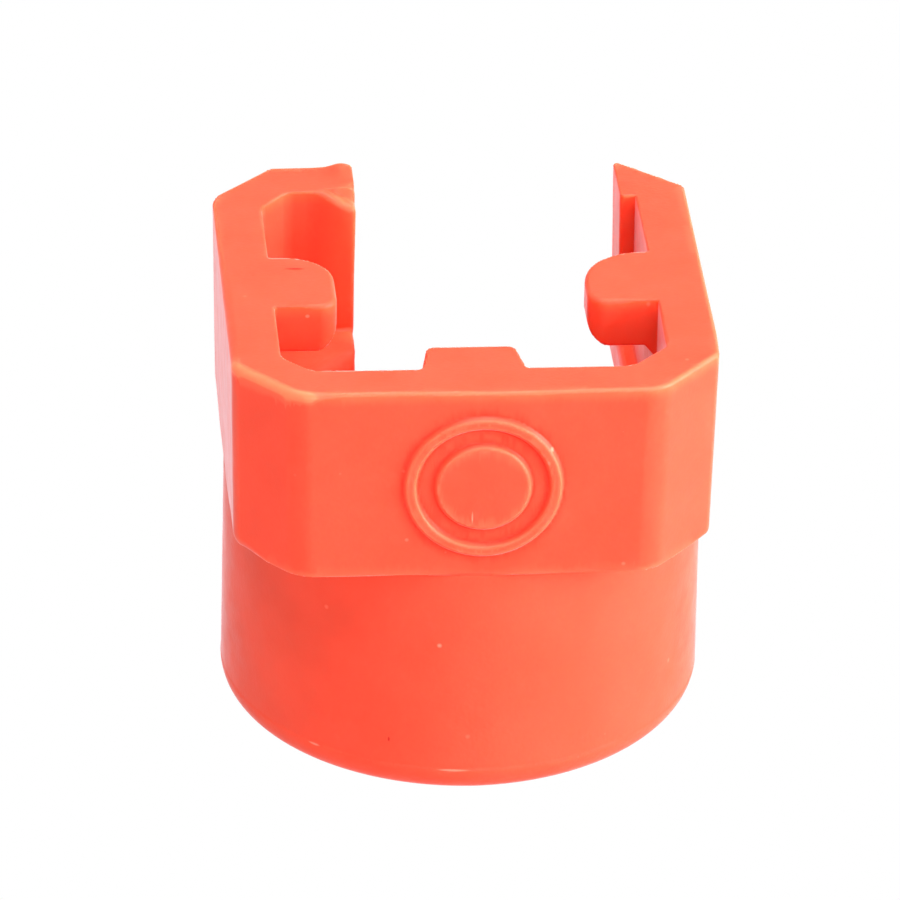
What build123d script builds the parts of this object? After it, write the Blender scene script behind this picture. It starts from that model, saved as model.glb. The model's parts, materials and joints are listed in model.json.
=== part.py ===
from build123d import *
import math
import os

# A soft heater sock: one moulded silicone piece that covers a round heater core and the square block above it.
# Lengths are in millimetres. The origin is the centre of the nozzle hole on the bottom face, +Z points up to
# the open top, and the face with the raised mark looks along -Y.

# Round cup around the heater core, a little narrower where it meets the collar
cup_diameter = 18.0
cup_height = 9.4
cup_draft_deg = 0.4
cup_rim_radius = 1.1
bore_diameter = 12.0
bore_mouth_radius = 0.8
floor_thickness = 1.2
nozzle_hole_diameter = 6.0

# Square collar with cut corners: its sizes are those of the rim, and it narrows towards its lower edge
collar_width = 17.8
collar_front = 9.0
collar_rear = 8.85
collar_height = 7.7
collar_corner_cut = 2.3
collar_draft_deg = 0.75
upright_edge_radius = 0.3
top_edge_radius = 0.2

# Pocket inside the collar: the end of the right arm is thicker than the end of the left arm
side_wall = 1.8
front_wall = 1.8
left_arm_rear_wall = 2.0
right_arm_rear_wall = 2.75
pocket_depth = 6.0
pocket_front_cut = 1.25
left_arm_pocket_cut = 1.4
right_arm_pocket_cut = 0.3

# Slot through the rear of the collar and the top of the cup, which leaves a longer left arm
slot_left = -3.6
slot_right = 6.4
slot_depth_below_collar = 2.0
slot_corner_radius = 1.0

# Tabs that hook over the heater, flush with the rim
tab_thickness = 1.95
tab_root = 0.8
side_tab_width = 3.8
side_tab_centre = -0.32
left_tab_reach = 2.2
right_tab_reach = 2.75
side_tab_rear_radius = 2.0
side_tab_front_radius = 0.7
side_tab_lower_radius = 0.85
front_tab_centre = -0.25
front_tab_base_width = 3.7
front_tab_tip_width = 3.1
front_tab_reach = 1.65
front_tab_corner_radius = 0.3

# Raised mark on the front face: a plain ring around a plain disc
mark_height = 13.2
mark_relief = 0.2
mark_ring_diameter = 5.75
mark_ring_width = 0.45
mark_disc_diameter = 3.5
mark_root = 0.3

total_height = cup_height + collar_height
ledge_height = total_height - pocket_depth
slot_bottom = cup_height - slot_depth_below_collar
pocket_side = collar_width / 2 - side_wall
pocket_front = collar_front - front_wall
pocket_rear = collar_rear - left_arm_rear_wall
right_arm_pocket_rear = collar_rear - right_arm_rear_wall
collar_taper = collar_height * math.tan(math.radians(collar_draft_deg))
cutter_overrun = 2.0


def collar_outline():
    """The collar's lower edge seen from above: a rectangle with its four corners cut at 45 degrees."""
    half_width = collar_width / 2 - collar_taper
    front = collar_front - collar_taper
    rear = collar_rear - collar_taper
    cut = collar_corner_cut
    return Polygon(
        (-half_width + cut, -front),
        (half_width - cut, -front),
        (half_width, -front + cut),
        (half_width, rear - cut),
        (half_width - cut, rear),
        (-half_width + cut, rear),
        (-half_width, rear - cut),
        (-half_width, -front + cut),
        align=None,
    )


def pocket_outline():
    """The pocket seen from above. The step in its rear edge lies inside the slot."""
    return Polygon(
        (-pocket_side + pocket_front_cut, -pocket_front),
        (pocket_side - pocket_front_cut, -pocket_front),
        (pocket_side, -pocket_front + pocket_front_cut),
        (pocket_side, right_arm_pocket_rear - right_arm_pocket_cut),
        (pocket_side - right_arm_pocket_cut, right_arm_pocket_rear),
        (0, right_arm_pocket_rear),
        (0, pocket_rear),
        (-pocket_side + left_arm_pocket_cut, pocket_rear),
        (-pocket_side, pocket_rear - left_arm_pocket_cut),
        (-pocket_side, -pocket_front + pocket_front_cut),
        align=None,
    )


def rises(edge, least):
    """True where an edge climbs by at least this height."""
    return abs((edge @ 1).Z - (edge @ 0).Z) > least


def cup():
    """The round cup, closed by its floor, with a rounded lower rim."""
    body = extrude(Circle(cup_diameter / 2), cup_height, taper=cup_draft_deg)
    lower_rim = body.edges().group_by(Axis.Z)[0]
    return fillet(lower_rim, cup_rim_radius)


def collar():
    """The square collar, which widens slightly from its lower edge to its rim."""
    body = extrude(Pos(0, 0, cup_height) * collar_outline(), collar_height, taper=-collar_draft_deg)
    uprights = body.edges().filter_by(lambda edge: rises(edge, collar_height / 2))
    body = fillet(uprights, upright_edge_radius)
    rim = body.edges().group_by(Axis.Z)[-1]
    return fillet(rim, top_edge_radius)


def pocket():
    """The space inside the collar, down to the ledge."""
    return extrude(Pos(0, 0, ledge_height) * pocket_outline(), pocket_depth + cutter_overrun)


def heater_bore():
    """The round space inside the cup, above its floor, with a rounded mouth at the ledge."""
    bore_radius = bore_diameter / 2
    mouth_radius = bore_radius + bore_mouth_radius
    mouth_start = ledge_height - bore_mouth_radius
    outline = Polyline(
        (mouth_radius, ledge_height),
        (0, ledge_height),
        (0, floor_thickness),
        (bore_radius, floor_thickness),
        (bore_radius, mouth_start),
    )
    mouth = RadiusArc((bore_radius, mouth_start), (mouth_radius, ledge_height), bore_mouth_radius)
    section = Plane.XZ * make_face([outline, mouth])
    return revolve(section, Axis.Z)


def nozzle_hole():
    """The hole in the floor that the nozzle tip passes through."""
    through = floor_thickness + 2 * cutter_overrun
    return extrude(Pos(0, 0, -cutter_overrun) * Circle(nozzle_hole_diameter / 2), through)


def rear_slot():
    """The opening at the rear, with rounded lower corners."""
    width = slot_right - slot_left
    height = total_height + cutter_overrun - slot_bottom
    length = collar_rear + cutter_overrun
    opening = Box(width, length, height, align=(Align.MIN, Align.MIN, Align.MIN))
    lower_edges = opening.edges().filter_by(Axis.Y).group_by(Axis.Z)[0]
    opening = fillet(lower_edges, slot_corner_radius)
    return Pos(slot_left, 0, slot_bottom) * opening


def side_tab(reach, side):
    """A finger that points inwards from a side wall: side is -1 for the left wall and +1 for the right wall."""
    length = tab_root + reach
    outline = Rectangle(length, side_tab_width, align=(Align.MAX, Align.CENTER))
    front_corner = outline.vertices().group_by(Axis.X)[0].sort_by(Axis.Y)[0]
    outline = fillet(front_corner, side_tab_front_radius)
    rear_corner = outline.vertices().group_by(Axis.X)[0].sort_by(Axis.Y)[-1]
    outline = fillet(rear_corner, side_tab_rear_radius)
    plan = extrude(outline, -tab_thickness)
    profile = Box(length, side_tab_width, tab_thickness, align=(Align.MAX, Align.CENTER, Align.MAX))
    lower_corner = profile.edges().filter_by(Axis.Y).group_by(Axis.X)[0].sort_by(Axis.Z)[0]
    profile = fillet(lower_corner, side_tab_lower_radius)
    placed = Pos(pocket_side + tab_root, side_tab_centre, total_height) * (plan & profile)
    return placed if side > 0 else mirror(placed, about=Plane.YZ)


def front_tab():
    """The small tab on the front wall, a little narrower at its tip."""
    root_y = -pocket_front - tab_root
    tip_y = -pocket_front + front_tab_reach
    flare = (front_tab_base_width - front_tab_tip_width) / 2 / front_tab_reach
    half_tip = front_tab_tip_width / 2
    half_root = front_tab_base_width / 2 + flare * tab_root
    outline = Polygon((-half_root, root_y), (half_root, root_y), (half_tip, tip_y), (-half_tip, tip_y), align=None)
    tip_corners = outline.vertices().group_by(Axis.Y)[-1]
    outline = fillet(tip_corners, front_tab_corner_radius)
    return extrude(Pos(front_tab_centre, 0, total_height - tab_thickness) * outline, tab_thickness)


def mark():
    """The raised mark, rooted in the front wall."""
    ring = Circle(mark_ring_diameter / 2) - Circle(mark_ring_diameter / 2 - mark_ring_width)
    outline = ring + Circle(mark_disc_diameter / 2)
    lean = collar_taper * (total_height - mark_height) / collar_height
    front_face = Plane(origin=(0, lean + mark_root - collar_front, mark_height), z_dir=(0, -1, 0))
    return extrude(front_face * outline, mark_root + mark_relief)


def heater_sock():
    """The whole moulding."""
    body = cup() + collar()
    body -= pocket()
    body -= heater_bore()
    body -= nozzle_hole()
    body -= rear_slot()
    body += side_tab(left_tab_reach, -1)
    body += side_tab(right_tab_reach, 1)
    body += front_tab()
    body += mark()
    return body


os.makedirs("parts", exist_ok=True)
export_step(heater_sock(), "parts/heater_sock.step")
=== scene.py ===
import json
import math

import bmesh
import bpy
import numpy as np
from mathutils import Matrix, Vector


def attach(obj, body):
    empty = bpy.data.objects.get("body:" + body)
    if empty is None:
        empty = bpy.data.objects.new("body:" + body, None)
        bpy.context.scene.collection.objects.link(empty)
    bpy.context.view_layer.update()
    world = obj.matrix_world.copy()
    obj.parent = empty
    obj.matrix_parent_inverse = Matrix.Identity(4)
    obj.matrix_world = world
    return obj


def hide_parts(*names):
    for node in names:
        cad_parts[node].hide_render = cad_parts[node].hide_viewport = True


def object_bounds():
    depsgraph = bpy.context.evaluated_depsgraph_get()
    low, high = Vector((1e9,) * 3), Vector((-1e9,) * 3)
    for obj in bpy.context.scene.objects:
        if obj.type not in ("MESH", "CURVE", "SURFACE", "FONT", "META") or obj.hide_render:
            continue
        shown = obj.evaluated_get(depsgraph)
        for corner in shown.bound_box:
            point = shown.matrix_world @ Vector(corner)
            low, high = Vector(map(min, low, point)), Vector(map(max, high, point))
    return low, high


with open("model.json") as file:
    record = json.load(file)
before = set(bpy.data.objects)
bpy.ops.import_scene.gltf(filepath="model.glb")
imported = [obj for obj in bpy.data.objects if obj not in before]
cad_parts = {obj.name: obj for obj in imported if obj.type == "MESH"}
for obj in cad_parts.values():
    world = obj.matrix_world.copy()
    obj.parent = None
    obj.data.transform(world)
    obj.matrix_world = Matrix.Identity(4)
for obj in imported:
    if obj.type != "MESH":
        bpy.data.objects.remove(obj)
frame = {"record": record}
cad_low, cad_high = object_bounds()

# The sock's mesh is grown from a distance field in millimetres, in the CAD frame, and then scaled to
# metres. Distances here are in millimetres unless a comment says otherwise. Seen from the front, where
# the raised mark is, -X is left, +X is right and +Y is the rear. "The rim" is the top face of the
# collar. A pair named "..._from_to" says where a change of shape or colour sets in and is complete.
MM = 0.001
mount = {m["name"]: m for m in frame["record"]["mounts"]}

# Heights and round sizes, from the frame
total_height = cad_high.z / MM
cup_radius = (cad_high.x - cad_low.x) / 2 / MM
nozzle_radius = mount["nozzle_hole"]["dims"]["r_mm"]
floor_thickness = mount["heater_cup"]["pos_m"][2] / MM
ledge_height = mount["block_pocket"]["pos_m"][2] / MM
collar_height = 7.7
cup_height = total_height - collar_height

# Cup: it stands a little towards the front at its bottom and a little to the right at its top. The
# mould's parting line runs just above the bottom, and the cup stands out by a hair below it.
cup_lean = math.tan(math.radians(0.4))
cup_swell = 0.02
cup_shift_right = 0.03
cup_shift_front = 0.04
cup_bottom_radius = 1.05
cup_bottom_radius_growth = 0.02
cup_top_overlap = 0.15
cup_top_radius = 0.25
parting_line_from_to = (1.16, 1.1)
parting_line_step = 0.015
bore_radius = 6.0
bore_floor_radius = 0.25
nozzle_edge_radius = 0.15

# Collar: distances of its walls from the axis at the rim, how much nearer they are at its lower edge,
# and how far its corner cuts reach along X and along Y
collar_walls = {"left": 9.01, "right": 8.86, "front": 9.0, "rear": 8.85}
collar_taper = {"left": 0.1, "right": 0.15, "front": 0.1, "rear": 0.1}
collar_cuts = {
    "front left": (2.2, 2.35),
    "front right": (2.35, 2.6),
    "rear left": (2.36, 2.36),
    "rear right": (2.3, 2.0),
}

# The soft collar sits slightly askew on the cup: its front and rear walls run back towards the left. Its
# front wall swells near the mark, and its right wall splays towards the rear and toes in at the front.
collar_skew = 0.015
front_wall_swell = 0.1
front_wall_swell_middle = 1.0
front_wall_swell_spread = 1.8
right_wall_splay = 0.002
right_wall_toe_in = 0.06
toe_in_from_to = (4.5, 6.5)

# Edges of the collar: each one's least radius, and how much blunter it is in some places
upright_edge_radius = 0.15
front_uprights_blunter = 0.3
front_uprights_from_to = (6.8, 8.4)
left_uprights_blunter = 0.1
left_uprights_from_to = (8, 8.8)
rear_left_upright_blunter = 0.15
rear_left_upright_from_to = (2, 5)
lower_edge_radius = 0.12
left_lower_corners_blunter = 0.4
right_lower_corners_blunter = 0.16
lower_corners_x_from_to = (7.6, 8.6)
lower_corners_y_from_to = (2.5, 5)
collar_root_radius = 0.05
wall_edge_radius = 0.12

# Pocket inside the collar. The right arm is thicker than the left one, whose tip has an inner lip that
# grows towards the rim.
pocket_walls = {"left": 7.19, "right": 6.96, "front": 7.18, "rear": 6.86}
pocket_cuts = {
    "front left": (1.1, 1.1),
    "front right": (1.35, 1.35),
    "rear left": (1.05, 1.2),
    "rear right": (0.3, 0.3),
}
pocket_edge_radius = 0.2
pocket_floor_radius = 0.15
pocket_toe_in = 0.02
pocket_toe_in_start = 2.5
right_arm_pocket_rear = 6.12
right_arm_from_x = 5
left_arm_lip = 0.5
left_arm_lip_x_from_to = (-5.5, -3.7)
left_arm_lip_z_from_to = (12.5, 16.6)
ledge_roll = 0.8

# Rear slot: its right face leans, and below the ledge it lies a little further left
slot_left = -3.57
slot_right = 6.47
slot_right_lean = -0.012
slot_bottom = cup_height - 2.0
slot_corner_radius = 1.0
slot_edge_radius = 0.15
slot_shift_left = 0.09
slot_shift_from_to = (ledge_height + 0.1, ledge_height - 0.4)

# Tabs
tab_thickness = 1.95
tab_root = 0.8
tab_root_radius = 0.12
tab_middle = -0.32
side_tab_width = 3.8
side_tab_front_corner = 0.7
side_tab_lower_nose = 0.95
side_tab_lower_edge = 0.12
left_tab_reach = 2.34
right_tab_reach = 2.57
left_tab_corner = 1.8
right_tab_corner = 2.3
left_tab_gusset = 0
right_tab_gusset = 1.25
gusset_length = 0.45
front_tab_middle = -0.25
front_tab_reach = 1.65
front_tab_half_base = 1.9
front_tab_half_tip = 1.6
front_tab_corner = 0.28
front_tab_lower_edge = 0.2

# Raised mark
mark_height = 13.2
mark_relief = 0.2
mark_ring_radius = 2.65
mark_ring_width = 0.45
mark_disc_radius = 1.75
mark_edge = 0.09
mark_depth_from_to = (8.0, 8.5)

# The rim's edges: their least radius, and how much blunter they are outside, outside on the left, at the
# noses of the side tabs and inside at the tip of the left arm. A depth is a distance from the outer skin or
# from the skin of a tab.
rim_edge_radius = 0.07
outer_edge_blunter = 0.07
outer_edge_depth_from_to = (-1.2, -0.6)
outer_edge_y_from_to = (7, -3)
left_outer_edge_blunter = 0.2
left_outer_edge_from_to = (5, 7)
tab_noses_blunter = 0.12
tab_noses_depth_from_to = (1.2, 0.3)
tab_noses_x_end = 6.2
tab_noses_x_fade = 0.6
tab_flanks_from_to = (2.6, 2.5)
tab_noses_y_from_to = (0.8, -0.5)
worn_tip_blunter = 0.25
worn_tip_depth_from_to = (-1.2, -1.6)
worn_tip_y_from_to = (4.5, 6)
worn_tip_x_from_to = (-5.4, -4.4)
left_side_from_to = (0, -1)

# The tip of the left arm is turned up around one point of its outer edge, and worn down inside
tip_turned_up = 0.17
turned_up_x = -4.0
turned_up_spread = 0.32
turned_up_stretch = 0.5
tip_worn_down = 0.42
worn_down_x_from_to = (-4.9, -3.7)
worn_down_y_from_to = (7.2, 7.05)
left_arm_from_y = 3

# How fine the mesh is, and the box in which the field is sampled
cell = 0.1
most_triangles = 110000
longest_edge = 0.7
splitting_rounds = 4
sampled_low = np.array([-9.3, -9.5, 0])
sampled_high = np.array([9.3, 9.3, total_height + 0.3])

# A cell of the field has its lowest corner at (0, 0, 0), and each axis has a step of one cell
cell_corners = [(i, j, k) for i in (0, 1) for j in (0, 1) for k in (0, 1)]
unit_steps = np.eye(3, dtype=int)

# How far apart the field is compared to find its slope, and the least slope, squared, that moves points
slope_reach = 0.01
least_steepness = 0.25

# How far round a point the field is felt to find how sharp an edge is. The rim counts as sharper at its
# front left corner, so that the painted highlight on its edge is paler there.
edge_reach = 0.22
skin_depth_from_to = (-0.5, -0.1)
lit_corner_gain = 5
lit_corner_from_to = (14.6, 15.3)
lit_corner_z_from_to = (16.6, 16.75)

# Colours of the silicone, and of the light and shade painted on it, as linear red, green and blue
dull_red = (0.69, 0.055, 0.025)
bright_red = (0.74, 0.061, 0.029)
# Painted light: the paler red of upright faces just under the rim
under_rim_light_red = (0.80, 0.095, 0.032)
lit_through_colour = (0.80, 0.1, 0.044)
dust_colour = (0.95, 0.20, 0.13)
# Painted shade in a crease and a nick
crease_shade_colour = (0.45, 0.006, 0.002)
# Painted highlights on the parting line, and pale scuffs and dust
highlight_scuff_and_dust_colour = (0.90, 0.17, 0.11)
sheen_colour = (0.85, 0.88, 1.0)

# Painted light and shade on edges: a painted highlight on edges, a paler one on sharp edges, and painted
# shade in inner corners. For each, the edginess where it sets in and is complete, its greatest share and
# its colour
edge_light_and_corner_shade = [
    # Painted highlight on edges
    ((0.04, 0.2), 0.5, (0.85, 0.12, 0.06)),
    # Paler painted highlight on sharp edges
    ((0.33, 0.6), 0.35, (0.90, 0.24, 0.11)),
    # Painted shade in inner corners
    ((-0.03, -0.25), 0.7, (0.68, 0.025, 0.01)),
]

# How far the painted light under the rim, a paler red on upright faces, reaches down, and its greatest
# share
under_rim_light_depth = 0.55
under_rim_light_share = 0.7

# Dust: the size of the cells that may hold a speck, where a speck fades as a share of that size, and which
# share of the cells' random values brings a speck
dust_spacing = 1.3
speck_from_to = (0.09, 0.03)
dusty_cells_from_to = (0.6, 0.9)

# Spots of colour: middle, half sizes and turn in degrees. The dark marks are painted shade in a crease and
# a nick. The pale ones are painted highlights on burrs of the parting line, and scuffs and specks of dust.
# The last spot is the end of the left arm, which light shines through.
crease_shade_marks = [
    ((-6.25, 0.75, 17.1), (0.42, 0.08, 0.3), (0, 0, -3)),
    ((-3.27, -8.4, 2.2), (0.05, 0.3, 0.12), (0, 0, 0)),
]
highlight_scuff_and_dust_marks = [
    ((-0.9, -8.98, 1.12), (0.7, 0.4, 0.05), (0, 0, 5)),
    ((-5.9, -6.8, 1.12), (0.3, 0.4, 0.05), (0, 0, -40)),
    ((-0.4, -9.1, 12.0), (0.04, 0.3, 0.32), (0, 0, 0)),
    ((-5.9, -5.6, 11.1), (0.25, 0.35, 0.3), (0, 0, 20)),
    ((-5.97, -2.1, 16.65), (0.1, 0.2, 0.09), (0, 0, 0)),
    ((6.6, -2.2, 16.9), (0.12, 0.2, 0.15), (0, 0, 0)),
]
lit_through_end = ((-3.3, 6.8, 13.5), (1.8, 1.2, 5.5), (0, 0, 0))

# Studio: sizes and distances in metres, angles in degrees and power in watts. Azimuth 0 is in front of
# the sock and 90 on its right.
softbox_distance = 0.3
softboxes = {
    "key": {"azimuth": 72, "elevation": 12, "side": 0.2, "power": 3.6},
    "front": {"azimuth": 0, "elevation": 10, "side": 0.25, "power": 1.05},
    "overhead": {"azimuth": 0, "elevation": 85, "side": 0.25, "power": 1.9},
}
floor_half_side = 3.0
floor_glow = 1.0
surround_light = 0.5
surround_look = 1.0

# The floor lies this many millimetres under the sock, so that the two don't touch
floor_gap = 0.02

# Camera: its angles in degrees, its lens in millimetres, its distance from the sock's axis, and how far
# it looks past the origin, across and up its own picture
camera_azimuth = -5.15
camera_elevation = 29.32
camera_roll = 1.03
camera_lens = 318.6
camera_distance = 303.1
camera_aim = (-0.429, 8.398)


def round_join(a, b, radius):
    """The union of two distance fields, with a fillet of this radius where they meet."""
    over_a = np.maximum(radius - a, 0)
    over_b = np.maximum(radius - b, 0)
    return np.maximum(radius, np.minimum(a, b)) - np.hypot(over_a, over_b)


def round_cut(a, b, radius):
    """What two distance fields have in common, with its edge rounded to this radius."""
    over_a = np.maximum(radius + a, 0)
    over_b = np.maximum(radius + b, 0)
    return np.minimum(-radius, np.maximum(a, b)) + np.hypot(over_a, over_b)


def smooth_step(value, start, end):
    """0 before start, 1 after end, and a smooth turn between them."""
    share = np.clip((value - start) / (end - start), 0, 1)
    return share * share * (3 - 2 * share)


def bump(distance_squared, spread):
    """A smooth bump, 1 high in its middle."""
    return np.exp(-distance_squared / (2 * spread * spread))


def cut_corner_plan(x, y, walls, cuts, radius):
    """A rectangle with cut corners, seen from above, with its upright edges rounded."""
    beyond = {
        "left": -x - walls["left"],
        "right": x - walls["right"],
        "front": -y - walls["front"],
        "rear": y - walls["rear"],
    }
    across = np.maximum(beyond["left"], beyond["right"])
    along = np.maximum(beyond["front"], beyond["rear"])
    corners = -np.inf
    for corner, (along_x, along_y) in cuts.items():
        end, side = corner.split()
        past_cut = (beyond[side] + along_x) * along_y + beyond[end] * along_x
        corners = np.maximum(corners, past_cut / math.hypot(along_x, along_y))
    return round_cut(np.maximum(across, along), corners, radius)


def cup(x, y, z):
    """The round cup, with a rounded lower edge."""
    sag = 1 - np.clip(z / cup_height, 0, 1)
    from_axis = np.hypot(x - cup_shift_right * (1 - sag), y + cup_shift_front * sag)
    wall = from_axis - cup_radius - cup_swell + cup_lean * z
    wall = wall - parting_line_step * smooth_step(z, *parting_line_from_to)
    wall = round_cut(wall, -z, cup_bottom_radius + cup_bottom_radius_growth * np.maximum(x, 0))
    return round_cut(wall, z - cup_height - cup_top_overlap, cup_top_radius)


def upright_radius(x, y):
    """How blunt the collar's upright edges are: more at the front, on the left and at the rear left."""
    at_front = smooth_step(-y, *front_uprights_from_to)
    on_left = smooth_step(-x, *left_uprights_from_to)
    at_rear = smooth_step(y, *rear_left_upright_from_to)
    left_blunter = left_uprights_blunter + rear_left_upright_blunter * at_rear
    return upright_edge_radius + front_uprights_blunter * at_front + on_left * left_blunter


def collar(x, y, z):
    """The collar, without its pocket: a square with cut corners that widens towards the rim."""
    drop = (total_height - z) / collar_height
    walls = {side: collar_walls[side] - collar_taper[side] * drop for side in collar_walls}
    swell = bump((x - front_wall_swell_middle) ** 2, front_wall_swell_spread)
    walls["front"] = walls["front"] + front_wall_swell * swell
    near_front = smooth_step(-y, *toe_in_from_to)
    walls["right"] = walls["right"] + right_wall_splay * y - right_wall_toe_in * near_front
    plan = cut_corner_plan(x, y, walls, collar_cuts, upright_radius(x, y))
    near_x = smooth_step(np.abs(x), *lower_corners_x_from_to)
    near_y = smooth_step(np.abs(y), *lower_corners_y_from_to)
    corners_blunter = np.where(x < 0, left_lower_corners_blunter, right_lower_corners_blunter)
    return round_cut(plan, cup_height - z, lower_edge_radius + near_x * near_y * corners_blunter)


def pocket(x, y, z):
    """The space inside the collar, down to the ledge."""
    askew = y + collar_skew * x
    walls = dict(pocket_walls)
    walls["right"] = walls["right"] - pocket_toe_in * np.maximum(-y - pocket_toe_in_start, 0)
    plan = cut_corner_plan(x, askew, walls, pocket_cuts, pocket_edge_radius)
    plan = np.maximum(plan, np.minimum(x - right_arm_from_x, askew - right_arm_pocket_rear))
    near_slot = smooth_step(x, *left_arm_lip_x_from_to)
    lip = left_arm_lip * near_slot * smooth_step(z, *left_arm_lip_z_from_to)
    plan = np.where(x < 0, np.maximum(plan, askew + lip - pocket_walls["rear"]), plan)
    return round_cut(plan, ledge_height - z, pocket_floor_radius)


def heater_bore(x, y, z):
    """The round space inside the cup, down to its floor."""
    return round_cut(np.hypot(x, y) - bore_radius, floor_thickness - z, bore_floor_radius)


def rear_slot(x, y, z):
    """The opening through the rear of the collar and the top of the cup."""
    right_face = slot_right + slot_right_lean * (z - cup_height)
    shifted = x + slot_shift_left * smooth_step(z, *slot_shift_from_to)
    sides = np.maximum(slot_left - shifted, shifted - right_face)
    return np.maximum(round_cut(sides, slot_bottom - z, slot_corner_radius), -y)


def cavity(x, y, z):
    """Everything that is empty inside the sock, without the nozzle hole."""
    heater_space = round_join(pocket(x, y, z), heater_bore(x, y, z), ledge_roll)
    return round_join(heater_space, rear_slot(x, y, z), slot_edge_radius)


def side_tab(x, y, z, wall, reach, corner, gusset):
    """A tab that points towards -X from a wall on the right, with a gusset under it next to the wall."""
    tip = wall - reach - x
    below = total_height - tab_thickness - gusset * np.maximum(x - wall + gusset_length, 0) - z
    rear = y - tab_middle - side_tab_width / 2
    front = tab_middle - side_tab_width / 2 - y
    nose = round_cut(round_cut(tip, rear, corner), front, side_tab_front_corner)
    lower_nose = round_cut(tip, below, side_tab_lower_nose)
    flanks = np.maximum(np.maximum(rear, front), x - wall - tab_root)
    return np.maximum(np.maximum(nose, lower_nose), round_cut(flanks, below, side_tab_lower_edge))


def front_tab(x, y, z):
    """The small tab on the front wall, a little narrower at its tip."""
    from_wall = y + pocket_walls["front"]
    along = from_wall / front_tab_reach
    half_width = front_tab_half_base + (front_tab_half_tip - front_tab_half_base) * along
    side = np.abs(x - front_tab_middle) - half_width
    plan = round_cut(side, from_wall - front_tab_reach, front_tab_corner)
    plan = np.maximum(plan, -from_wall - tab_root)
    return round_cut(plan, total_height - tab_thickness - z, front_tab_lower_edge)


def mark(x, y, z):
    """How far the mark stands out from the front face: a plain ring around a plain disc."""
    from_middle = np.hypot(x, z - mark_height)
    ring = np.abs(from_middle - mark_ring_radius) - mark_ring_width / 2
    shape = np.minimum(ring, from_middle - mark_disc_radius)
    at_front_face = smooth_step(-y, *mark_depth_from_to)
    return mark_relief * smooth_step(-shape, -mark_edge, mark_edge) * at_front_face


def rim_height(x, y):
    """The height of the rim: level, except at the tip of the left arm."""
    from_turned_up = (x - turned_up_x) ** 2 + (turned_up_stretch * (y - collar_walls["rear"])) ** 2
    turned_up = tip_turned_up * bump(from_turned_up, turned_up_spread)
    near_tip = smooth_step(x, *worn_down_x_from_to)
    worn_down = tip_worn_down * near_tip * smooth_step(y, *worn_down_y_from_to)
    return total_height + np.where((x < 0) & (y > left_arm_from_y), turned_up - worn_down, 0)


def rim_radius(x, y, outside, side_tabs):
    """How blunt the rim's edges are: more outside, on the left, at the tabs' noses and at the worn tip."""
    askew = y + collar_skew * x
    near_outside = smooth_step(outside, *outer_edge_depth_from_to)
    towards_front = smooth_step(y, *outer_edge_y_from_to)
    on_left = smooth_step(-x, *left_outer_edge_from_to)
    outer_edge = near_outside * towards_front * (outer_edge_blunter + left_outer_edge_blunter * on_left)

    near_tab_edge = smooth_step(-side_tabs, *tab_noses_depth_from_to)
    off_the_wall = smooth_step(tab_noses_x_end - np.abs(x), 0, tab_noses_x_fade)
    between_flanks = smooth_step(np.abs(askew), *tab_flanks_from_to)
    front_half = smooth_step(askew, *tab_noses_y_from_to)
    noses = tab_noses_blunter * near_tab_edge * off_the_wall * between_flanks * front_half

    inner_edge = smooth_step(y, *worn_tip_y_from_to) * smooth_step(outside, *worn_tip_depth_from_to)
    worn_tip = worn_tip_blunter * inner_edge * smooth_step(x, *worn_tip_x_from_to)
    worn_tip = worn_tip * smooth_step(x, *left_side_from_to)
    return rim_edge_radius + outer_edge + noses + worn_tip


def sock(x, y, z):
    """The distance field of the whole sock: negative inside the silicone."""
    askew = y + collar_skew * x
    outside = round_join(cup(x, y, z), collar(x, askew, z), collar_root_radius) - mark(x, y, z)
    walls = round_cut(outside, -cavity(x, y, z), wall_edge_radius)
    right_wall = pocket_walls["right"]
    left_wall = pocket_walls["left"]
    right_tab = side_tab(x, askew, z, right_wall, right_tab_reach, right_tab_corner, right_tab_gusset)
    left_tab = side_tab(-x, askew, z, left_wall, left_tab_reach, left_tab_corner, left_tab_gusset)
    for tab in (right_tab, left_tab, front_tab(x, askew, z)):
        walls = round_join(walls, tab, tab_root_radius)
    nozzle_hole = np.hypot(x, y) - nozzle_radius
    walls = round_cut(walls, -nozzle_hole, nozzle_edge_radius)
    side_tabs = np.minimum(right_tab, left_tab)
    return round_cut(walls, z - rim_height(x, y), rim_radius(x, y, outside, side_tabs))


def corner_of_cells(values, offset):
    """The values at one corner of every cell of a sampled field."""
    i, j, k = offset
    cells_x, cells_y, cells_z = (count - 1 for count in values.shape)
    return values[i:i + cells_x, j:j + cells_y, k:k + cells_z]


def crossing_points(field, cells):
    """For each cell, the middle of the places where the surface crosses its edges, counted in cells."""
    total = np.zeros((len(cells), 3))
    crossings = np.zeros(len(cells))
    for axis in range(3):
        step = unit_steps[axis]
        for start in cell_corners:
            if start[axis]:
                continue
            a = cells + np.array(start)
            b = a + step
            value_a = field[tuple(a.T)]
            value_b = field[tuple(b.T)]
            crossed = (value_a < 0) != (value_b < 0)
            share = value_a[crossed] / (value_a[crossed] - value_b[crossed])
            total[crossed] += a[crossed] + share[:, None] * step
            crossings[crossed] += 1
    return total / crossings[:, None]


def quads_across(inside, number, axis):
    """A quad through the four cells round each grid edge along one axis that leaves or enters the solid."""
    ahead = tuple(slice(1, None) if i == axis else slice(None) for i in range(3))
    behind = tuple(slice(None, -1) if i == axis else slice(None) for i in range(3))
    edges = np.argwhere(inside[ahead] != inside[behind])
    side_1 = unit_steps[(axis + 1) % 3]
    side_2 = unit_steps[(axis + 2) % 3]
    ring = [edges - side_1 - side_2, edges - side_2, edges, edges - side_1]
    quads = np.stack([number[tuple(cell.T)] for cell in ring], axis=1)
    leaving = inside[tuple(edges.T)]
    quads[~leaving] = quads[~leaving][:, ::-1]
    return quads


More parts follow.
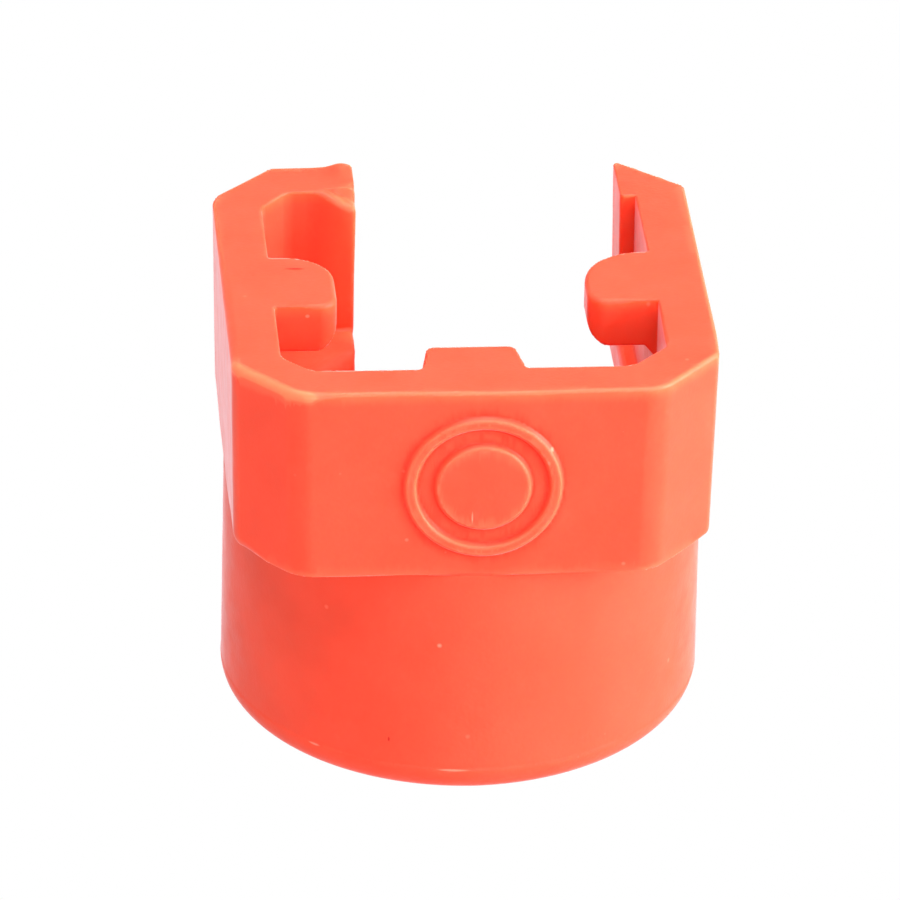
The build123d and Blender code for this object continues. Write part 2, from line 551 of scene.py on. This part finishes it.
def net_of_cells(field, low, size):
    """A closed quad mesh round the field's negative part, with one point in each cell that it crosses."""
    inside = field < 0
    counts = sum(corner_of_cells(inside, offset).astype(np.int8) for offset in cell_corners)
    cells = np.argwhere((counts > 0) & (counts < len(cell_corners)))
    number = np.full(counts.shape, -1, np.int32)
    number[tuple(cells.T)] = np.arange(len(cells))
    points = low + size * crossing_points(field, cells)
    return points, np.concatenate([quads_across(inside, number, axis) for axis in range(3)])


def slope(points):
    """The direction in which the field grows, at each point."""
    slopes = []
    for axis in range(3):
        step = unit_steps[axis] * slope_reach
        slopes.append(sock(*(points + step).T) - sock(*(points - step).T))
    return np.stack(slopes, axis=1) / (2 * slope_reach)


def settle(points, rounds):
    """Moves points onto the surface along the field's slope, by at most half a cell in each round."""
    for _ in range(rounds):
        direction = slope(points)
        steepness = np.maximum((direction ** 2).sum(axis=1), least_steepness)
        move = -sock(*points.T)[:, None] * direction / steepness[:, None]
        points = points + np.clip(move, -cell / 2, cell / 2)
    return points


def edginess(points):
    """How sharply the skin bends at each point: above 0 on edges, below 0 in corners, 0 inside the sock."""
    offsets = (-1, 0, 1)
    around = [(i, j, k) for i in offsets for j in offsets for k in offsets if (i, j, k) != (0, 0, 0)]
    total = 0
    for direction in around:
        step = np.array(direction) / np.linalg.norm(direction)
        total = total + sock(*(points + edge_reach * step).T)
    x, y, z = points.T
    outside = np.minimum(cup(x, y, z), collar(x, y + collar_skew * x, z)) - mark(x, y, z)
    near_skin = smooth_step(outside, *skin_depth_from_to)
    # The rim's front left corner counts as sharper, for a paler painted highlight there
    front_left = smooth_step(-x - y, *lit_corner_from_to)
    lit_corner_boost = lit_corner_gain * front_left * smooth_step(z, *lit_corner_z_from_to)
    return total / len(around) / edge_reach * near_skin * (1 + lit_corner_boost)


def mesh_from(name, points, faces):
    """A mesh from an array of points and an array of faces that all have as many corners."""
    mesh = bpy.data.meshes.new(name)
    mesh.vertices.add(len(points))
    mesh.vertices.foreach_set("co", points.astype(np.float32).ravel())
    corners = faces.shape[1]
    mesh.loops.add(faces.size)
    mesh.loops.foreach_set("vertex_index", faces.astype(np.int32).ravel())
    mesh.polygons.add(len(faces))
    mesh.polygons.foreach_set("loop_start", np.arange(0, faces.size, corners, dtype=np.int32))
    mesh.update(calc_edges=True)
    mesh.validate()
    return mesh


def mesh_points(mesh):
    """The places of a mesh's points, as an array."""
    flat = np.zeros(len(mesh.vertices) * 3, np.float32)
    mesh.vertices.foreach_get("co", flat)
    return flat.reshape(-1, 3).astype(float)


def split_long_edges(mesh):
    """Splits long edges, so that a value stored at the points doesn't spread far across the flat faces."""
    work = bmesh.new()
    work.from_mesh(mesh)
    for _ in range(splitting_rounds):
        long_edges = [edge for edge in work.edges if edge.calc_length() > longest_edge]
        bmesh.ops.subdivide_edges(work, edges=long_edges, cuts=1)
        bmesh.ops.triangulate(work, faces=[face for face in work.faces if len(face.verts) > 3])
    work.to_mesh(mesh)
    work.free()


def sampled_sock():
    """The sock's surface as a fine net of quads, in millimetres."""
    low = sampled_low - 3 * cell
    high = sampled_high + 3 * cell
    steps = [np.arange(low[i], high[i], cell, dtype=np.float32) for i in range(3)]
    field = sock(*np.meshgrid(*steps, indexing="ij", sparse=True))
    points, quads = net_of_cells(field, low, cell)
    return mesh_from("heater_sock_skin", settle(points, rounds=3), quads)


def thin_out(piece):
    """Joins triangles where the surface is nearly flat, which leaves more of them on the edges."""
    thin = piece.modifiers.new("thin", "DECIMATE")
    thin.ratio = min(1.0, most_triangles / (2 * len(piece.data.polygons)))
    thinned = bpy.data.meshes.new_from_object(piece.evaluated_get(bpy.context.evaluated_depsgraph_get()))
    piece.modifiers.clear()
    piece.data = thinned


def build_sock():
    """The sock's mesh: sampled, thinned out, settled on the surface again and scaled to metres."""
    piece = bpy.data.objects.new("heater_sock_skin", sampled_sock())
    bpy.context.scene.collection.objects.link(piece)
    thin_out(piece)
    mesh = piece.data
    split_long_edges(mesh)
    points = settle(mesh_points(mesh), rounds=1)
    normals = slope(points)
    normals /= np.linalg.norm(normals, axis=1)[:, None]
    mesh.vertices.foreach_set("co", (points * MM).astype(np.float32).ravel())
    mesh.update()
    mesh.shade_smooth()
    mesh.normals_split_custom_set_from_vertices(normals.tolist())
    edge = mesh.attributes.new("edginess", "FLOAT", "POINT")
    edge.data.foreach_set("value", edginess(points).astype(np.float32))
    return piece


class Shading:
    """The nodes of one material, with the few kinds that the silicone needs."""

    def __init__(self, material):
        material.use_nodes = True
        self.nodes = material.node_tree.nodes
        self.links = material.node_tree.links
        self.place = self.nodes.new("ShaderNodeTexCoord").outputs["Object"]

    def axes(self, vector):
        """The X, Y and Z of a vector."""
        separate = self.nodes.new("ShaderNodeSeparateXYZ")
        self.links.new(vector, separate.inputs["Vector"])
        return separate.outputs

    def noise(self, size, detail):
        """Soft noise with lumps of about this size in millimetres."""
        texture = self.nodes.new("ShaderNodeTexNoise")
        texture.inputs["Scale"].default_value = 1 / (size * MM)
        texture.inputs["Detail"].default_value = detail
        self.links.new(self.place, texture.inputs["Vector"])
        return texture.outputs["Fac"]

    def between(self, value, low, high, to_low=0.0, to_high=1.0):
        """The value moved from one range to another, and kept inside it."""
        scaled = self.nodes.new("ShaderNodeMapRange")
        scaled.inputs["From Min"].default_value = low
        scaled.inputs["From Max"].default_value = high
        scaled.inputs["To Min"].default_value = to_low
        scaled.inputs["To Max"].default_value = to_high
        self.links.new(value, scaled.inputs["Value"])
        return scaled.outputs["Result"]

    def times(self, a, b):
        """The product of two values."""
        product = self.nodes.new("ShaderNodeMath")
        product.operation = "MULTIPLY"
        self.links.new(a, product.inputs[0])
        self.links.new(b, product.inputs[1])
        return product.outputs[0]

    def blend(self, share, under, over):
        """A share of one colour over another. The colour under it may be a node's output."""
        mixed = self.nodes.new("ShaderNodeMix")
        mixed.data_type = "RGBA"
        self.links.new(share, mixed.inputs["Factor"])
        if isinstance(under, tuple):
            mixed.inputs["A"].default_value = (*under, 1)
        else:
            self.links.new(under, mixed.inputs["A"])
        mixed.inputs["B"].default_value = (*over, 1)
        return mixed.outputs["Result"]

    def spot(self, middle, half_size, turn):
        """1 in the middle of a small oval spot and 0 outside it."""
        frame_of_spot = self.nodes.new("ShaderNodeMapping")
        frame_of_spot.vector_type = "TEXTURE"
        frame_of_spot.inputs["Location"].default_value = [c * MM for c in middle]
        frame_of_spot.inputs["Rotation"].default_value = [math.radians(a) for a in turn]
        frame_of_spot.inputs["Scale"].default_value = [h * MM for h in half_size]
        self.links.new(self.place, frame_of_spot.inputs["Vector"])
        ball = self.nodes.new("ShaderNodeTexGradient")
        ball.gradient_type = "SPHERICAL"
        self.links.new(frame_of_spot.outputs["Vector"], ball.inputs["Vector"])
        return self.between(ball.outputs["Fac"], 0, 0.5)

    def bumps(self, strength, depth, height, under=None):
        """A bumpy normal, laid over another one if that is given. The depth is in millimetres."""
        bumpy = self.nodes.new("ShaderNodeBump")
        bumpy.inputs["Strength"].default_value = strength
        bumpy.inputs["Distance"].default_value = depth * MM
        self.links.new(height, bumpy.inputs["Height"])
        if under is not None:
            self.links.new(under, bumpy.inputs["Normal"])
        return bumpy.outputs["Normal"]


def painted_edge_light_and_shade(shading, colour):
    """Painted light under the rim and on outer edges, as paler colour, and painted shade in corners."""
    # Painted light: upright faces just under the rim are paler, as if lit from the rim
    height = shading.axes(shading.place)["Z"]
    under_rim_light_start = (total_height - under_rim_light_depth) * MM
    lit_under_rim = shading.between(height, under_rim_light_start, total_height * MM, to_high=under_rim_light_share)
    normal = shading.nodes.new("ShaderNodeNewGeometry").outputs["True Normal"]
    upright = shading.between(shading.axes(normal)["Z"], 0.5, 0.1)
    colour = shading.blend(shading.times(lit_under_rim, upright), colour, under_rim_light_red)
    attribute = shading.nodes.new("ShaderNodeAttribute")
    attribute.attribute_name = "edginess"
    # Painted highlights on edges and painted shade in inner corners
    for (start, end), share, tint in edge_light_and_corner_shade:
        edge = shading.between(attribute.outputs["Fac"], start, end, to_high=share)
        colour = shading.blend(edge, colour, tint)
    return colour


def dusty(shading, colour):
    """A few pale specks of dust, one at most in each cell of a cell pattern."""
    cells = shading.nodes.new("ShaderNodeTexVoronoi")
    cells.inputs["Scale"].default_value = 1 / (dust_spacing * MM)
    shading.links.new(shading.place, cells.inputs["Vector"])
    speck = shading.between(cells.outputs["Distance"], *speck_from_to)
    chosen = shading.nodes.new("ShaderNodeSeparateColor")
    shading.links.new(cells.outputs["Color"], chosen.inputs["Color"])
    few = shading.between(chosen.outputs["Red"], *dusty_cells_from_to)
    return shading.blend(shading.times(speck, few), colour, dust_colour)


def marks_and_painted_light(shading, colour):
    """Painted shade in a crease and a nick, painted highlights on the parting line, and scuffs and dust."""
    # Painted shade in a crease and a nick; pale marks: painted highlights on the parting line, scuffs and
    # dust
    for marks, mark_colour in ((crease_shade_marks, crease_shade_colour), (highlight_scuff_and_dust_marks, highlight_scuff_and_dust_colour)):
        for middle, half_size, turn in marks:
            colour = shading.blend(shading.spot(middle, half_size, turn), colour, mark_colour)
    return colour


def silicone():
    """Satin orange-red silicone with a grain and some dust; painted highlights on edges, painted shade in
    corners.
    """
    material = bpy.data.materials.new("orange_silicone")
    shading = Shading(material)
    shader = shading.nodes["Principled BSDF"]
    mottling = shading.between(shading.noise(size=2.5, detail=3), 0.35, 0.65)
    colour = shading.blend(mottling, dull_red, bright_red)
    colour = painted_edge_light_and_shade(shading, colour)
    colour = shading.blend(shading.spot(*lit_through_end), colour, lit_through_colour)
    colour = marks_and_painted_light(shading, dusty(shading, colour))
    shading.links.new(colour, shader.inputs["Base Color"])
    roughness = shading.between(shading.noise(size=0.8, detail=4), 0.3, 0.7, to_low=0.35, to_high=0.45)
    shading.links.new(roughness, shader.inputs["Roughness"])
    grain = shading.bumps(strength=0.5, depth=0.015, height=shading.noise(size=0.16, detail=3))
    lumps = shading.noise(size=2.0, detail=1)
    unevenness = shading.bumps(strength=0.6, depth=0.08, height=lumps, under=grain)
    shading.links.new(unevenness, shader.inputs["Normal"])

    shader.inputs["IOR"].default_value = 1.43
    shader.inputs["Specular IOR Level"].default_value = 0.15
    shader.inputs["Sheen Weight"].default_value = 0.24
    shader.inputs["Sheen Roughness"].default_value = 0.2
    shader.inputs["Sheen Tint"].default_value = (*sheen_colour, 1)
    shader.inputs["Subsurface Weight"].default_value = 0.75
    shader.inputs["Subsurface Radius"].default_value = (1.0, 0.35, 0.2)
    shader.inputs["Subsurface Scale"].default_value = 1.0 * MM
    return material


def glowing(name, strength):
    """A material that gives white light."""
    material = bpy.data.materials.new(name)
    material.use_nodes = True
    nodes = material.node_tree.nodes
    nodes.clear()
    light = nodes.new("ShaderNodeEmission")
    light.inputs["Strength"].default_value = strength
    output = nodes.new("ShaderNodeOutputMaterial")
    material.node_tree.links.new(light.outputs["Emission"], output.inputs["Surface"])
    return material


def unit_towards(azimuth, elevation):
    """A vector of length 1 that points towards these angles, which are in degrees."""
    a = math.radians(azimuth)
    e = math.radians(elevation)
    return Vector((math.sin(a) * math.cos(e), -math.cos(a) * math.cos(e), math.sin(e)))


def softbox(name, azimuth, elevation, side, power):
    """A square soft light that faces the sock."""
    data = bpy.data.lights.new(name, "AREA")
    data.shape = "SQUARE"
    data.size = side
    data.energy = power
    piece = bpy.data.objects.new(name, data)
    bpy.context.scene.collection.objects.link(piece)
    towards = unit_towards(azimuth, elevation)
    middle = Vector((0, 0, total_height / 2 * MM))
    piece.location = middle + towards * softbox_distance
    piece.rotation_mode = "QUATERNION"
    piece.rotation_quaternion = towards.to_track_quat("Z", "Y")


def surround():
    """A surround that looks as white as the floor, but sheds less light than it shows."""
    world = bpy.data.worlds.new("studio")
    world.use_nodes = True
    nodes = world.node_tree.nodes
    links = world.node_tree.links
    background = nodes["Background"]
    background.inputs["Color"].default_value = (1, 1, 1, 1)
    seen = nodes.new("ShaderNodeLightPath").outputs["Is Camera Ray"]
    strength = nodes.new("ShaderNodeMapRange")
    strength.inputs["To Min"].default_value = surround_light
    strength.inputs["To Max"].default_value = surround_look
    links.new(seen, strength.inputs["Value"])
    links.new(strength.outputs["Result"], background.inputs["Strength"])
    bpy.context.scene.world = world


def white_floor():
    """A floor that glows like a light table, just under the sock."""
    half = floor_half_side
    corners = [(-half, -half, 0), (half, -half, 0), (half, half, 0), (-half, half, 0)]
    mesh = bpy.data.meshes.new("floor")
    mesh.from_pydata(corners, [], [(0, 1, 2, 3)])
    mesh.materials.append(glowing("white_floor", floor_glow))
    floor = bpy.data.objects.new("floor", mesh)
    floor.location.z = -floor_gap * MM
    bpy.context.scene.collection.objects.link(floor)


def studio():
    """A white surround, a white floor, and softboxes on the right, in front and above."""
    surround()
    bpy.context.scene.view_settings.view_transform = "Standard"
    white_floor()
    for name, sizes in softboxes.items():
        softbox(name, **sizes)


def camera():
    """The camera, with its picture slightly turned."""
    data = bpy.data.cameras.new("camera")
    data.sensor_width = 36
    data.lens = camera_lens
    data.clip_start = 0.01
    data.clip_end = 10
    piece = bpy.data.objects.new("camera", data)
    bpy.context.scene.collection.objects.link(piece)
    back = unit_towards(camera_azimuth, camera_elevation)
    level = (-back).to_track_quat("-Z", "Y").to_matrix()
    turned = level @ Matrix.Rotation(math.radians(camera_roll), 3, "Z")
    aim = level @ Vector((*camera_aim, 0)) * MM
    piece.matrix_world = Matrix.Translation(aim + back * camera_distance * MM) @ turned.to_4x4()
    bpy.context.scene.camera = piece


sock_skin = build_sock()
sock_skin.data.materials.clear()
sock_skin.data.materials.append(silicone())
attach(sock_skin, "root")
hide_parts("heater_sock")
studio()
camera()
